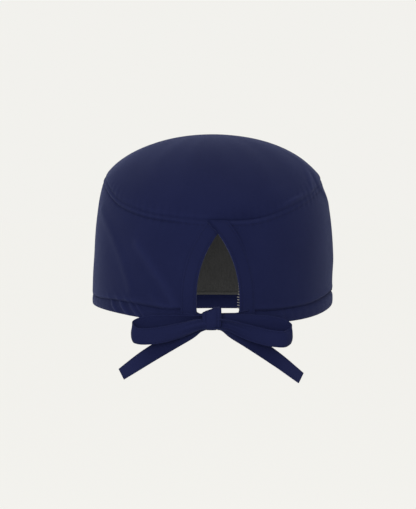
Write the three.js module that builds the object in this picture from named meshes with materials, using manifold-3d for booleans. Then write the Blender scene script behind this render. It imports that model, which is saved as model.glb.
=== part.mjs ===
// Scrub cap: an oval crown panel on a wrap-round band, with a keyhole at the back,
// a hem casing, and a flat tie fastened in a bow under the keyhole.
//
// Millimetres, +Z up. The origin is the inside of the crown at its highest point,
// where the wearer's head touches. The keyhole faces -Y, the forehead +Y, and +X is
// the wearer's right. "turn" is the angle round the cap in degrees, 0 at the centre
// back and growing towards +X.

import * as THREE from 'three';
import Module from 'manifold-3d';
import { mergeVertices } from 'three/addons/utils/BufferGeometryUtils.js';

const wasm = await Module();
wasm.setup();

// ---- Driving dimensions ----

const HEM_HALF_WIDTH = 89;
const HEM_HALF_DEPTH = 104;
const CLOTH = 1.2;
const GAP = 0.3;

const CREST_Z = CLOTH;
const CROWN_SQUARENESS = 2;
const CROWN_FALL = 1.5;
const BAND_LEAN = 0.15;
const BAND_LEAN_POWER = 4;

const CASING_HEIGHT = 10;
const CASING_THICKNESS = 3.6;
const CASING_CLOTH = 1;
const CASING_ROUND = 1.2;

const KEYHOLE_HALF_WIDTH = 15;
const KEYHOLE_SPRING_Z = -115;
const KEYHOLE_SHOULDER_Z = -90;
const KEYHOLE_APEX_Z = -70.2;

const FACING_WIDTH = 10.8;
const FACING_CLOTH = 0.9;
const FACING_REST = 0.45;
const FACING_FOOT_Z = -131.2;
const FACING_HEAD_Z = -61.1;
const LAP_X = -7.2;
const LAP_Z = -62.1;
const LAP_LIFT = 1.3;
const LAP_LIFTED_Z = -76;

const LINING_HALF_TURN = 62;
const LINING_CLOTH = 1;
const LINING_REST = 1.7;
const LINING_TOP_RISE = 0.94;
const LINING_EDGE_HEIGHT = 2;
const LINING_EDGE_CLOTH = 1.4;

const TIE_CLOTH = 1.4;
const KNOT = { x: -4.55, y: -108, z: -128.4, width: 13.2, depth: 11, height: 16 };
const KNOT_EDGE = { round: 2.5, bevel: 1.6, slopeRun: 5.5, slopeDrop: 4 };

const NAVY = { color: 0x222643, roughness: 0.85, metalness: 0 };
const KNIT_GREY = { color: 0x2f2f2f, roughness: 0.95, metalness: 0 };
const EDGE_GREY = { color: 0x3a3a3a, roughness: 0.9, metalness: 0 };

// How the crown seam and the hem run round the cap, and how far the seam stands in
// from the hem's outline.
const SECTIONS = [
  { turn: -180, seamZ: -16.0, hemZ: -134.2, seamInset: 15.0 },
  { turn: -150, seamZ: -18.0, hemZ: -133.0, seamInset: 13.5 },
  { turn: -120, seamZ: -23.5, hemZ: -128.0, seamInset: 11.0 },
  { turn: -90, seamZ: -31.0, hemZ: -124.2, seamInset: 9.4 },
  { turn: -75, seamZ: -35.6, hemZ: -125.2, seamInset: 8.6 },
  { turn: -60, seamZ: -45.6, hemZ: -126.3, seamInset: 7.8 },
  { turn: -40, seamZ: -54.4, hemZ: -129.2, seamInset: 7.0 },
  { turn: -20, seamZ: -58.7, hemZ: -131.2, seamInset: 6.3 },
  { turn: 0, seamZ: -60.9, hemZ: -132.0, seamInset: 6.0 },
  { turn: 20, seamZ: -59.5, hemZ: -132.6, seamInset: 6.3 },
  { turn: 40, seamZ: -51.3, hemZ: -131.8, seamInset: 7.0 },
  { turn: 60, seamZ: -41.5, hemZ: -128.5, seamInset: 7.8 },
  { turn: 75, seamZ: -35.0, hemZ: -125.4, seamInset: 8.6 },
  { turn: 90, seamZ: -31.0, hemZ: -124.0, seamInset: 9.4 },
  { turn: 120, seamZ: -23.5, hemZ: -128.0, seamInset: 11.0 },
  { turn: 150, seamZ: -18.0, hemZ: -133.0, seamInset: 13.5 },
  { turn: 180, seamZ: -16.0, hemZ: -134.2, seamInset: 15.0 },
];

// Soft ridges where the band is pulled towards the casing, a fuller right side, and a
// hollow, with a negative rise, down the left side. bow is how far the middle of a fold
// stands to the left of the straight line from its start to its end.
const FOLDS = [
  { fromTurn: -73, fromZ: -55, toTurn: -43, toZ: -109, bow: 7, rise: 0.8, halfWidth: 4.5 },
  { fromTurn: -40, fromZ: -78, toTurn: -20, toZ: -118, bow: 1.5, rise: 0.9, halfWidth: 3.5 },
  { fromTurn: -31, fromZ: -114, toTurn: -20, toZ: -123, bow: -2, rise: 0.5, halfWidth: 2.5 },
  { fromTurn: 72, fromZ: -36, toTurn: 84, toZ: -48, bow: 0, rise: 0.7, halfWidth: 5 },
  { fromTurn: 84, fromZ: -62, toTurn: 84, toZ: -88, bow: 0, rise: 1.4, halfWidth: 13 },
  { fromTurn: -88, fromZ: -60, toTurn: -88, toZ: -84, bow: 0, rise: -0.8, halfWidth: 14 },
];

// The tie's centre line, its width, and its roll about that line in degrees.
const TIE_LEFT = {
  strand: [
    { x: -13.8, y: -101.8, z: -129.0, width: 6.6, roll: 0 },
    { x: -12.8, y: -102.1, z: -129.2, width: 7.0, roll: 0 },
    { x: -11.7, y: -102.5, z: -129.4, width: 7.4, roll: 0 },
  ],
  loop: [
    { x: -11.7, y: -105.4, z: -131.0, width: 9.5, roll: 0 },
    { x: -20.0, y: -105.8, z: -131.5, width: 10.4, roll: 0 },
    { x: -32.0, y: -105.2, z: -131.6, width: 11.0, roll: 0 },
    { x: -44.0, y: -104.0, z: -131.9, width: 11.4, roll: 0 },
    { x: -53.0, y: -103.3, z: -133.4, width: 11.4, roll: 0 },
    { x: -57.8, y: -104.2, z: -135.5, width: 11.4, roll: 0 },
    { x: -59.4, y: -107.5, z: -137.9, width: 11.4, roll: 0 },
    { x: -58.2, y: -111.2, z: -139.7, width: 11.4, roll: 0 },
    { x: -53.0, y: -113.6, z: -140.3, width: 11.4, roll: 0 },
    { x: -42.0, y: -114.4, z: -139.6, width: 11.4, roll: 0 },
    { x: -27.0, y: -114.0, z: -136.4, width: 10.2, roll: 0 },
    { x: -17.0, y: -112.8, z: -133.4, width: 8.0, roll: 0 },
    { x: -11.7, y: -111.8, z: -132.3, width: 6.6, roll: 0 },
  ],
  tail: [
    { x: -13.8, y: -108.6, z: -133.9, width: 7.6, roll: 0 },
    { x: -19.2, y: -108.6, z: -137.3, width: 9.8, roll: 4 },
    { x: -31.0, y: -107.8, z: -144.0, width: 11.0, roll: 12 },
    { x: -48.7, y: -106.0, z: -154.6, width: 11.4, roll: 22 },
    { x: -66.9, y: -104.3, z: -167.2, width: 11.4, roll: 46 },
  ],
};

const TIE_RIGHT = {
  strand: [
    { x: 13.8, y: -101.6, z: -128.6, width: 7.2, roll: 0 },
    { x: 8.8, y: -102.4, z: -129.3, width: 8.6, roll: 0 },
    { x: 2.6, y: -103.3, z: -129.8, width: 9.6, roll: 0 },
  ],
  loop: [
    { x: 2.6, y: -105.4, z: -130.2, width: 9.5, roll: 0 },
    { x: 12.0, y: -105.9, z: -130.5, width: 10.4, roll: 0 },
    { x: 24.0, y: -105.4, z: -131.5, width: 11.0, roll: 0 },
    { x: 36.0, y: -104.4, z: -132.5, width: 11.4, roll: 0 },
    { x: 45.0, y: -103.6, z: -135.0, width: 11.4, roll: 0 },
    { x: 50.2, y: -104.6, z: -137.8, width: 11.4, roll: 0 },
    { x: 51.6, y: -108.0, z: -140.3, width: 11.4, roll: 0 },
    { x: 48.8, y: -111.6, z: -141.8, width: 10.8, roll: 0 },
    { x: 45.0, y: -114.0, z: -142.5, width: 11.4, roll: 0 },
    { x: 34.0, y: -114.6, z: -141.3, width: 11.4, roll: 0 },
    { x: 19.0, y: -114.2, z: -137.0, width: 10.2, roll: 0 },
    { x: 8.5, y: -113.0, z: -133.2, width: 7.4, roll: 0 },
    { x: 2.6, y: -112.0, z: -132.2, width: 6.6, roll: 0 },
  ],
  tail: [
    { x: 4.6, y: -108.6, z: -133.7, width: 7.6, roll: 0 },
    { x: 10.0, y: -108.6, z: -136.9, width: 9.8, roll: -4 },
    { x: 20.9, y: -107.8, z: -143.3, width: 11.0, roll: -14 },
    { x: 39.0, y: -106.0, z: -155.8, width: 11.4, roll: -28 },
    { x: 57.6, y: -104.3, z: -170.3, width: 11.4, roll: -46 },
  ],
};

// ---- Closed solids from rings of points ----

// An indexed geometry, turned the right way out by the sign of its volume.
function solid(points, triangles) {
  let volume = 0;
  for (const [a, b, c] of triangles) {
    volume += points[a].dot(points[b].clone().cross(points[c]));
  }
  const outward = volume > 0 ? triangles : triangles.map(([a, b, c]) => [a, c, b]);
  const geometry = new THREE.BufferGeometry();
  geometry.setAttribute('position', new THREE.Float32BufferAttribute(points.flatMap((p) => p.toArray()), 3));
  geometry.setIndex(outward.flat());
  return geometry;
}

// The two triangles of the quad between two neighbours on each of two rings.
function quad(ring, nextRing, corner, nextCorner) {
  return [
    [ring + corner, ring + nextCorner, nextRing + nextCorner],
    [ring + corner, nextRing + nextCorner, nextRing + corner],
  ];
}

// A bar through equal closed rings, with a flat fan across each end.
function loft(rings) {
  const size = rings[0].length;
  const triangles = [];
  for (let r = 0; r + 1 < rings.length; r += 1) {
    for (let c = 0; c < size; c += 1) {
      triangles.push(...quad(r * size, (r + 1) * size, c, (c + 1) % size));
    }
  }
  const last = (rings.length - 1) * size;
  for (let c = 1; c + 1 < size; c += 1) {
    triangles.push([0, c + 1, c], [last, last + c, last + c + 1]);
  }
  return solid(rings.flat(), triangles);
}

// A tube whose first ring is joined to its last, for a wall that runs all the way round.
function closedLoft(rings) {
  const size = rings[0].length;
  const triangles = [];
  for (let r = 0; r < rings.length; r += 1) {
    const next = (r + 1) % rings.length;
    for (let c = 0; c < size; c += 1) {
      triangles.push(...quad(r * size, next * size, c, (c + 1) % size));
    }
  }
  return solid(rings.flat(), triangles);
}

function range(count, low, high) {
  return Array.from({ length: count + 1 }, (_, i) => low + ((high - low) * i) / count);
}

// ---- Cutting one solid with another ----

function toManifold(geometry) {
  const bare = geometry.clone();
  bare.deleteAttribute('normal');
  bare.deleteAttribute('uv');
  const merged = mergeVertices(bare);
  return new wasm.Manifold(new wasm.Mesh({
    numProp: 3,
    vertProperties: new Float32Array(merged.attributes.position.array),
    triVerts: new Uint32Array(merged.index.array),
  }));
}

function cut(geometry, tool) {
  const result = toManifold(geometry).subtract(toManifold(tool)).getMesh();
  const trimmed = new THREE.BufferGeometry();
  trimmed.setAttribute('position', new THREE.Float32BufferAttribute(result.vertProperties, 3));
  trimmed.setIndex(Array.from(result.triVerts));
  return trimmed;
}

// ---- The cap's outer face ----

const edges = new THREE.CubicInterpolant(
  SECTIONS.map((section) => section.turn),
  SECTIONS.flatMap((section) => [section.seamZ, section.hemZ, section.seamInset]),
  3,
);
edges.settings = { endingStart: THREE.WrapAroundEnding, endingEnd: THREE.WrapAroundEnding };

function sectionAt(turn) {
  const wrapped = THREE.MathUtils.euclideanModulo(turn + 180, 360) - 180;
  const [seamZ, hemZ, seamInset] = edges.evaluate(wrapped);
  return { seamZ, hemZ, seamInset };
}

// How far the folds lift the cloth: a bell curve of the distance from each fold's line,
// which is a parabola between its two ends.
const ARC_PER_DEGREE = THREE.MathUtils.degToRad((HEM_HALF_WIDTH + HEM_HALF_DEPTH) / 2);

function foldLift(turn, z) {
  let lift = 0;
  for (const fold of FOLDS) {
    const start = new THREE.Vector2(fold.fromTurn * ARC_PER_DEGREE, fold.fromZ);
    const line = new THREE.Vector2(fold.toTurn * ARC_PER_DEGREE, fold.toZ).sub(start);
    const here = new THREE.Vector2(turn * ARC_PER_DEGREE, z).sub(start);
    const share = here.dot(line) / line.lengthSq();
    const near = THREE.MathUtils.clamp(share, 0, 1);
    const aside = line.cross(here) / line.length() - 4 * fold.bow * near * (1 - near);
    const beyond = (share - near) * line.length();
    lift += fold.rise * Math.exp(-(aside ** 2 + beyond ** 2) / fold.halfWidth ** 2);
  }
  return lift;
}

// The band: rise is 0 at the hem and 1 at the crown seam.
function bandPoint(turn, rise) {
  const { seamZ, hemZ, seamInset } = sectionAt(turn);
  const angle = THREE.MathUtils.degToRad(turn);
  const z = THREE.MathUtils.lerp(hemZ, seamZ, rise);
  const lean = BAND_LEAN * rise + (1 - BAND_LEAN) * rise ** BAND_LEAN_POWER;
  const inset = seamInset * lean - foldLift(turn, z);
  return new THREE.Vector3(
    (HEM_HALF_WIDTH - inset) * Math.sin(angle),
    -(HEM_HALF_DEPTH - inset) * Math.cos(angle),
    z,
  );
}

// The same face, by its height in millimetres above the hem.
function bandPointAbove(turn, height) {
  const { seamZ, hemZ } = sectionAt(turn);
  return bandPoint(turn, height / (seamZ - hemZ));
}

// The crown: climb is 0 at the seam and 1 at the crest. Each rib is a quarter of a
// superellipse between the crest and the seam.
function crownPoint(turn, climb) {
  const rib = (THREE.MathUtils.clamp(climb, 0, 1) * Math.PI) / 2;
  const reach = Math.cos(rib) ** (2 / CROWN_SQUARENESS);
  const lift = Math.sin(rib) ** (2 / CROWN_FALL);
  const seam = bandPoint(turn, 1);
  return new THREE.Vector3(
    seam.x * reach,
    seam.y * reach,
    THREE.MathUtils.lerp(seam.z, CREST_Z, lift),
  );
}

// Each face with the small steps that its normal is measured over.
const BAND = { at: bandPoint, turnStep: 0.5, upStep: 0.004 };
const BAND_ABOVE_HEM = { at: bandPointAbove, turnStep: 0.5, upStep: 0.5 };
const CROWN = { at: crownPoint, turnStep: 0.5, upStep: 0.004 };

// The point at a depth under a face, measured along the face's own normal.
function under(face, turn, v, depth) {
  const along = face.at(turn + face.turnStep, v).sub(face.at(turn - face.turnStep, v));
  const up = face.at(turn, v + face.upStep).sub(face.at(turn, v - face.upStep));
  const outward = along.cross(up).normalize();
  return face.at(turn, v).addScaledVector(outward, -depth);
}

// The point of the band's outer face at a given x and z near the centre back, moved out.
// Each pass turns by the distance that is still missing.
const BACK_PASSES = 5;

function backPoint(x, z, out) {
  let turn = 0;
  let rise = 0;
  for (let pass = 0; pass < BACK_PASSES; pass += 1) {
    const { seamZ, hemZ } = sectionAt(turn);
    rise = (z - hemZ) / (seamZ - hemZ);
    turn += THREE.MathUtils.radToDeg((x - bandPoint(turn, rise).x) / HEM_HALF_WIDTH);
  }
  return under(BAND, turn, rise, -out);
}

// ---- Pieces ----

const CROWN_RIBS = 64;
const CROWN_RINGS = 6;
const CROWN_LAST_CLIMB = 0.86;

// A domed sheet: an outer and an inner cap of rings, each closed by one point at the
// crest, and a rim between them along the seam.
function crownPanel() {
  const turns = range(CROWN_RIBS, -180, 180).slice(0, -1);
  const climbs = range(CROWN_RINGS, 0, CROWN_LAST_CLIMB);
  const points = [];
  for (const depth of [0, CLOTH]) {
    for (const climb of climbs) {
      points.push(...turns.map((turn) => under(CROWN, turn, climb, depth)));
    }
    points.push(new THREE.Vector3(0, 0, CREST_Z - depth));
  }
  const seamRise = new THREE.Vector3(0, 0, GAP);
  const layer = climbs.length * CROWN_RIBS + 1;
  for (let i = 0; i < CROWN_RIBS; i += 1) {
    points[i].add(seamRise);
    points[layer + i].add(seamRise);
  }
  const triangles = [];
  for (let i = 0; i < CROWN_RIBS; i += 1) {
    const next = (i + 1) % CROWN_RIBS;
    for (let ring = 0; ring < CROWN_RINGS; ring += 1) {
      const outer = ring * CROWN_RIBS;
      triangles.push(...quad(outer, outer + CROWN_RIBS, i, next));
      triangles.push(...quad(layer + outer, layer + outer + CROWN_RIBS, next, i));
    }
    const top = CROWN_RINGS * CROWN_RIBS;
    triangles.push([top + i, top + next, layer - 1]);
    triangles.push([layer + top + next, layer + top + i, 2 * layer - 1]);
    triangles.push(...quad(layer, 0, i, next));
  }
  return solid(points, triangles);
}

const BAND_COLUMNS = 96;
const BAND_ROWS = 9;

// The outline of the keyhole's right side, from its foot up to its point.
function keyholeSide(footZ) {
  const side = new THREE.Path();
  side.moveTo(KEYHOLE_HALF_WIDTH, footZ);
  side.lineTo(KEYHOLE_HALF_WIDTH, KEYHOLE_SPRING_Z);
  side.quadraticCurveTo(KEYHOLE_HALF_WIDTH, KEYHOLE_SHOULDER_Z, 0, KEYHOLE_APEX_Z);
  return side;
}

// A block in the keyhole's outline, which runs through the back wall.
const TOOL_MARGIN = 20;
const TOOL_CURVE_STEPS = 8;

function keyholeTool() {
  const right = keyholeSide(FACING_FOOT_Z - TOOL_MARGIN).getPoints(TOOL_CURVE_STEPS);
  const left = right.slice(0, -1).reverse().map((p) => new THREE.Vector2(-p.x, p.y));
  const tool = new THREE.ExtrudeGeometry(new THREE.Shape([...right, ...left]), {
    depth: HEM_HALF_DEPTH,
    bevelEnabled: false,
  });
  tool.rotateX(Math.PI / 2);
  tool.translate(0, -TOOL_MARGIN, 0);
  return tool;
}

function sideBand() {
  const turns = range(BAND_COLUMNS, -180, 180).slice(0, -1);
  const rings = turns.map((turn) => {
    const { seamZ, hemZ } = sectionAt(turn);
    const rises = range(BAND_ROWS, (CASING_HEIGHT + GAP) / (seamZ - hemZ), 1);
    const outer = rises.map((rise) => under(BAND, turn, rise, 0));
    const inner = rises.map((rise) => under(BAND, turn, rise, CLOTH));
    return [...outer, ...inner.reverse()];
  });
  return cut(closedLoft(rings), keyholeTool());
}

const FACING_STEPS = 26;

// A strip along the keyhole's edge and on up past its point, where the two strips
// cross. Its outer line keeps one width from the edge and stops at the crown seam, so
// the strip runs out to a point there.
function keyholeFacing(side, lapLift) {
  const edge = keyholeSide(FACING_FOOT_Z);
  edge.lineTo(LAP_X, LAP_Z);
  const rings = range(FACING_STEPS, 0, 1).map((t) => {
    const inner = edge.getPointAt(t);
    const tangent = edge.getTangentAt(t);
    const toSeam = tangent.x < 0 ? (FACING_HEAD_Z - inner.y) / -tangent.x : FACING_WIDTH;
    const reach = Math.min(FACING_WIDTH, toSeam);
    const lift = lapLift * THREE.MathUtils.smoothstep(inner.y, KEYHOLE_SHOULDER_Z, LAP_LIFTED_Z);
    const across = [0, 0.5, 1].map((share) => ({
      x: side * (inner.x + tangent.y * reach * share),
      z: inner.y - tangent.x * reach * share,
    }));
    const low = across.map((p) => backPoint(p.x, p.z, FACING_REST + lift));
    const high = across.map((p) => backPoint(p.x, p.z, FACING_REST + lift + FACING_CLOTH));
    return [...low, ...high.reverse()];
  });
  return loft(rings);
}

const CASING_STEPS = 72;

// A flat tunnel along the hem from one side of the keyhole round to the other. Its
// section is a rectangle with a rounded foot, less a smaller rectangle.
function hemCasing() {
  const mouth = THREE.MathUtils.radToDeg(Math.asin(KEYHOLE_HALF_WIDTH / HEM_HALF_WIDTH));
  const sweep = (section, from, to) => loft(range(CASING_STEPS, from, to).map(
    (turn) => section.map(([height, depth]) => under(BAND_ABOVE_HEM, turn, height, depth)),
  ));
  const outside = [
    [CASING_HEIGHT, 0],
    [CASING_HEIGHT, CASING_THICKNESS],
    [CASING_ROUND, CASING_THICKNESS],
    [0, CASING_THICKNESS - CASING_ROUND],
    [0, CASING_ROUND],
    [CASING_ROUND, 0],
  ];
  const high = CASING_HEIGHT - CASING_CLOTH;
  const deep = CASING_THICKNESS - CASING_CLOTH;
  const channel = [[high, CASING_CLOTH], [high, deep], [CASING_CLOTH, deep], [CASING_CLOTH, CASING_CLOTH]];
  return cut(sweep(outside, mouth, 360 - mouth), sweep(channel, mouth - 1, 361 - mouth));
}

const LINING_COLUMNS = 24;
const LINING_ROWS = 5;
const LINING_FOOT = CASING_HEIGHT + GAP;

// A sheet inside the forehead, between two heights above the hem given as functions
// of the turn.
function forehead(lowAt, highAt, rows, cloth) {
  const turns = range(LINING_COLUMNS, 180 - LINING_HALF_TURN, 180 + LINING_HALF_TURN);
  return loft(turns.map((turn) => {
    const heights = range(rows, lowAt(turn), highAt(turn));
    const outer = heights.map((height) => under(BAND_ABOVE_HEM, turn, height, LINING_REST));
    const inner = heights.map((height) => under(BAND_ABOVE_HEM, turn, height, LINING_REST + cloth));
    return [...outer, ...inner.reverse()];
  }));
}

function frontLining() {
  const topHeight = (turn) => {
    const { seamZ, hemZ } = sectionAt(turn);
    return LINING_TOP_RISE * (seamZ - hemZ);
  };
  const foot = () => LINING_FOOT + LINING_EDGE_HEIGHT + GAP;
  return forehead(foot, topHeight, LINING_ROWS, LINING_CLOTH);
}

function liningEdge() {
  const foot = () => LINING_FOOT;
  const top = () => LINING_FOOT + LINING_EDGE_HEIGHT;
  return forehead(foot, top, 1, LINING_EDGE_CLOTH);
}

// A flat tape along a smooth line through the rows of a table. Its width stands
// upright, apart from the roll.
function tape(rows, stepsPerRow) {
  const line = new THREE.CatmullRomCurve3(rows.map((row) => new THREE.Vector3(row.x, row.y, row.z)));
  const spans = rows.length - 1;
  const rings = range(spans * stepsPerRow, 0, 1).map((t) => {
    const at = Math.min(Math.floor(t * spans), spans - 1);
    const part = t * spans - at;
    const width = THREE.MathUtils.lerp(rows[at].width, rows[at + 1].width, part);
    const roll = THREE.MathUtils.lerp(rows[at].roll, rows[at + 1].roll, part);
    const tangent = line.getTangent(t);
    const across = new THREE.Vector3(0, 0, 1).addScaledVector(tangent, -tangent.z).normalize();
    across.applyAxisAngle(tangent, THREE.MathUtils.degToRad(roll));
    const through = tangent.clone().cross(across);
    const corners = [[-1, -1], [1, -1], [1, 1], [-1, 1]];
    return corners.map(([w, d]) => line.getPoint(t)
      .addScaledVector(across, (w * width) / 2)
      .addScaledVector(through, (d * TIE_CLOTH) / 2));
  });
  return loft(rings);
}

// The tape's wrap round the middle of the bow: a rounded pad, whose upper left corner is
// a long slope, where the wrap is drawn in.
function tieKnot() {
  const { round, bevel, slopeRun, slopeDrop } = KNOT_EDGE;
  const halfWidth = KNOT.width / 2 - bevel;
  const halfHeight = KNOT.height / 2 - bevel;
  const pad = new THREE.Shape();
  pad.moveTo(-halfWidth + round, -halfHeight);
  pad.lineTo(halfWidth - round, -halfHeight);
  pad.quadraticCurveTo(halfWidth, -halfHeight, halfWidth, -halfHeight + round);
  pad.lineTo(halfWidth, halfHeight - round);
  pad.quadraticCurveTo(halfWidth, halfHeight, halfWidth - round, halfHeight);
  pad.lineTo(-halfWidth + slopeRun, halfHeight);
  pad.lineTo(-halfWidth, halfHeight - slopeDrop);
  pad.lineTo(-halfWidth, -halfHeight + round);
  pad.quadraticCurveTo(-halfWidth, -halfHeight, -halfWidth + round, -halfHeight);
  const geometry = new THREE.ExtrudeGeometry(pad, {
    depth: KNOT.depth - 2 * bevel,
    bevelThickness: bevel,
    bevelSize: bevel,
    bevelSegments: 2,
    curveSegments: 3,
  });
  geometry.translate(0, 0, bevel - KNOT.depth / 2);
  return geometry;
}

// ---- The cap ----

const cap = new THREE.Group();

function add(name, geometry, finish) {
  const mesh = new THREE.Mesh(geometry, new THREE.MeshStandardMaterial(finish));
  mesh.name = name;
  cap.add(mesh);
  return mesh;
}

add('crown_panel', crownPanel(), NAVY);
add('side_band', sideBand(), NAVY);
add('keyhole_facing_left', keyholeFacing(-1, 0), NAVY);
add('keyhole_facing_right', keyholeFacing(1, LAP_LIFT), NAVY);
add('hem_casing', hemCasing(), NAVY);
add('front_lining', frontLining(), KNIT_GREY);
add('lining_edge', liningEdge(), EDGE_GREY);

for (const [side, rows] of [['left', TIE_LEFT], ['right', TIE_RIGHT]]) {
  add(`tie_strand_${side}`, tape(rows.strand, 2), NAVY);
  add(`tie_loop_${side}`, tape(rows.loop, 2), NAVY);
  add(`tie_tail_${side}`, tape(rows.tail, 3), NAVY);
}

const knot = add('tie_knot', tieKnot(), NAVY);
knot.position.set(KNOT.x, KNOT.y, KNOT.z);
knot.rotation.x = Math.PI / 2;

export default cap;
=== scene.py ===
"""A cloth scrub cap: an oval crown on a wrap-round band, a keyhole at the back, a hem casing,
a ribbed lining inside the forehead, and a flat tie fastened in a bow.

Shapes are worked out in millimetres, in the frame's own axes, and become metres when a mesh
is made. "turn" is the angle round the cap in degrees, 0 at the centre back and growing
towards +X. "rise" runs up the band from 0 at the hem to 1 at the crown seam, "climb" up the
crown from 0 at that seam to 1 at the crest.
"""

import math

import bmesh
import bpy
import numpy as np
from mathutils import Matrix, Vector


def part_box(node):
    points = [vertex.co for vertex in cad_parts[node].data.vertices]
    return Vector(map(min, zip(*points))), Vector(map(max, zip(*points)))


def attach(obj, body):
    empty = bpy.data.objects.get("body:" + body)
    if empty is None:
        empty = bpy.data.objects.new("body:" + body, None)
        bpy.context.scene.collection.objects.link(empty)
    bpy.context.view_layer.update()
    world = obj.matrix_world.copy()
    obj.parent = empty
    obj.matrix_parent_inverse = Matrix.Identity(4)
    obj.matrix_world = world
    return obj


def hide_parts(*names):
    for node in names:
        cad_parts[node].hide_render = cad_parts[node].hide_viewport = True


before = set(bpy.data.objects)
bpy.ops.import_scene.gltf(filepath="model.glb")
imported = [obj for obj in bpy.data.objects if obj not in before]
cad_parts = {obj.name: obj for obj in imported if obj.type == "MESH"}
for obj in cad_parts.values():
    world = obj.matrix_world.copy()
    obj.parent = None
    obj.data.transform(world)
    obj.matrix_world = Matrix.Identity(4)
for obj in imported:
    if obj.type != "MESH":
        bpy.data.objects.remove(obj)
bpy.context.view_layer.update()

MM = 0.001
FULL_TURN = 2 * math.pi


# ---- Camera, floor and light ----

CAMERA_PLACE = (-0.0557, -1.498, -0.0357)
CAMERA_AIM = (-0.0033, 0.0, -0.088)
CAMERA_LENS = 142.8
SENSOR = 36.0

PAPER = (0.887, 0.880, 0.847)
FLOOR_Z = -0.60
FLOOR_HALF = 30.0
FLOOR_CATCH = 0.12
FLOOR_GLOW = 1.015

# Each lamp: where it stands, what it faces, its width in metres, its power in watts and its
# colour. The last is a weak one in the hollow, which faces the inside of the forehead.
LAMPS = {
    "front_softbox": ((-0.40, -1.9, 0.25), CAMERA_AIM, 1.3, 31.0, (1.0, 0.99, 0.98)),
    "top_softbox": ((0.15, 0.35, 1.35), CAMERA_AIM, 1.2, 8.2, (0.93, 0.95, 1.0)),
    "left_edge": ((-1.45, -0.35, -0.3), CAMERA_AIM, 0.9, 5.2, (0.84, 0.89, 1.0)),
    "right_edge": ((1.45, -0.35, -0.1), CAMERA_AIM, 0.9, 1.8, (0.84, 0.89, 1.0)),
    "inside_fill": ((0.0, -0.03, -0.112), (0.0, 0.10, -0.116), 0.09, 0.072, (1.0, 1.0, 1.0)),
}


def stand(name, data):
    """A new object in the scene."""
    thing = bpy.data.objects.new(name, data)
    bpy.context.scene.collection.objects.link(thing)
    return thing


def aim(thing, place, target):
    """Puts a thing at a place with its -Z axis towards the target and its top upwards."""
    thing.location = place
    thing.rotation_euler = (Vector(target) - Vector(place)).to_track_quat("-Z", "Y").to_euler()


def make_camera():
    data = bpy.data.cameras.new("camera")
    data.lens = CAMERA_LENS
    data.sensor_width = SENSOR
    camera = stand("camera", data)
    aim(camera, CAMERA_PLACE, CAMERA_AIM)
    bpy.context.scene.camera = camera


def make_lights():
    for name, (place, target, width, power, colour) in LAMPS.items():
        data = bpy.data.lights.new(name, "AREA")
        data.shape = "DISK"
        data.size = width
        data.energy = power
        data.color = colour
        lamp = stand(name, data)
        lamp.visible_camera = False
        aim(lamp, place, target)
    world = bpy.data.worlds.new("studio")
    world.use_nodes = True
    background = world.node_tree.nodes["Background"]
    background.inputs["Color"].default_value = (*PAPER, 1)
    background.inputs["Strength"].default_value = 1.0
    bpy.context.scene.world = world
    bpy.context.scene.view_settings.view_transform = "Standard"


# ---- Shader maths ----

class Amount:
    """A value socket whose operators add Math nodes to its material."""

    def __init__(self, paint, socket):
        self.paint = paint
        self.socket = socket

    def math(self, operation, *others):
        sockets = self.paint.add("ShaderNodeMath", {"operation": operation}, [self, *others])
        return Amount(self.paint, sockets[0])

    def __add__(self, other):
        return self.math("ADD", other)

    __radd__ = __add__

    def __mul__(self, other):
        return self.math("MULTIPLY", other)

    __rmul__ = __mul__

    def __sub__(self, other):
        return self.math("SUBTRACT", other)

    def __rsub__(self, other):
        return (self * -1) + other

    def __truediv__(self, other):
        return self.math("DIVIDE", other)

    def sine(self):
        return self.math("SINE")

    def size(self):
        return self.math("ABSOLUTE")


class Paint:
    """A material with one Principled shader, and the nodes that feed it."""

    def __init__(self, name):
        self.material = bpy.data.materials.new(name)
        self.material.use_nodes = True
        self.tree = self.material.node_tree
        self.shader = self.tree.nodes["Principled BSDF"]

    def add(self, kind, settings=None, inputs=()):
        """Adds a node: its settings first, then its sockets, by order or by name."""
        node = self.tree.nodes.new(kind)
        for key, value in (settings or {}).items():
            setattr(node, key, value)
        named = inputs.items() if isinstance(inputs, dict) else enumerate(inputs)
        for key, value in named:
            self.feed(node.inputs[key], value)
        return node.outputs

    def feed(self, socket, value):
        """Links or sets one socket."""
        if isinstance(value, Amount):
            value = value.socket
        if isinstance(value, bpy.types.NodeSocket):
            self.tree.links.new(value, socket)
        else:
            socket.default_value = value

    def set(self, **inputs):
        """Sets the shader's own sockets, named with _ for a space."""
        for key, value in inputs.items():
            self.feed(self.shader.inputs[key.replace("_", " ")], value)

    def cloth_uv(self):
        """The piece's own UV map, in millimetres: along the cloth and across it."""
        uv = self.add("ShaderNodeUVMap", {"uv_map": "cloth"})["UV"]
        parts = self.add("ShaderNodeSeparateXYZ", inputs=[uv])
        return uv, Amount(self, parts["X"]), Amount(self, parts["Y"])

    def place(self):
        return self.add("ShaderNodeTexCoord")["Object"]

    def wear_and_shading(self):
        """The piece's own wear and painted shading: 0.5 on plain cloth, more on a ridge, where a
        highlight is painted, and less in a crease, where shade is painted.
        """
        return Amount(self, self.add("ShaderNodeAttribute", {"attribute_name": "wear_and_shading"})["Fac"])

    def noise(self, vector, scale, detail=2.0, roughness=0.5):
        inputs = {"Vector": vector, "Scale": scale, "Detail": detail, "Roughness": roughness}
        return Amount(self, self.add("ShaderNodeTexNoise", inputs=inputs)[0])

    def colours(self, factor, low, high, deeper=False):
        """A colour between two, by an amount from 0 to 1. deeper lets it pass the low one."""
        settings = {"data_type": "RGBA", "clamp_factor": not deeper}
        return self.add("ShaderNodeMix", settings, {"Factor": factor, 6: (*low, 1), 7: (*high, 1)})[2]

    def bump(self, height, distance, strength, under=None):
        inputs = {"Height": height, "Distance": distance, "Strength": strength}
        if under is not None:
            inputs["Normal"] = under
        return self.add("ShaderNodeBump", inputs=inputs)["Normal"]


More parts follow.
